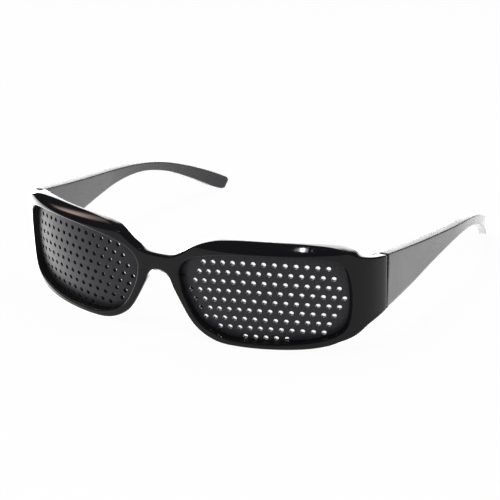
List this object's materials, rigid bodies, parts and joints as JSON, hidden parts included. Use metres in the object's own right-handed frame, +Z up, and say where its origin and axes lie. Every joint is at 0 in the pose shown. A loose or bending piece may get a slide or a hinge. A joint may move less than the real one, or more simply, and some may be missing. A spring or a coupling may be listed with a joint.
{
  "type": "pinhole glasses",
  "caption": "Wrap-around plastic glasses whose curved opaque plates are pierced with rows of small holes, on folding tapered temples.",
  "frame": {"origin": "on the surface that the glasses stand on, under the middle of their bounding box", "axes": "+X towards the wearer's left, -Y forwards out of the lenses, +Y towards the ear ends, +Z up"},
  "size_m": [0.1444, 0.1506, 0.037],
  "materials": {
    "front_plastic": "polished black injection-moulded plastic",
    "plate_plastic": "satin dark grey, fine grain",
    "temple_plastic": "satin dark grey-black, fine grain",
    "hinge_steel": "pressed nickel-plated steel",
    "screw_steel": "plated slotted screw"
  },
  "bodies": {
    "front": {"front_frame": "front_plastic", "left_pinhole_plate": "plate_plastic", "right_pinhole_plate": "plate_plastic", "left_front_hinge_leaf": "hinge_steel", "right_front_hinge_leaf": "hinge_steel", "left_hinge_screw": "screw_steel", "right_hinge_screw": "screw_steel"},
    "left_temple_arm": {"left_temple": "temple_plastic", "left_temple_hinge_leaf": "hinge_steel"},
    "right_temple_arm": {"right_temple": "temple_plastic", "right_temple_hinge_leaf": "hinge_steel"}
  },
  "joints": [
    {"name": "left_temple_fold", "type": "hinge", "parent": "front", "child": "left_temple_arm", "pos_m": [0.06345, -0.04653, 0.02207], "axis": [0, -0.071, 0.9975], "range_deg": [0, 93]},
    {"name": "right_temple_fold", "type": "hinge", "parent": "front", "child": "right_temple_arm", "pos_m": [-0.06345, -0.04653, 0.02207], "axis": [0, 0.071, -0.9975], "range_deg": [0, 86]}
  ]
}
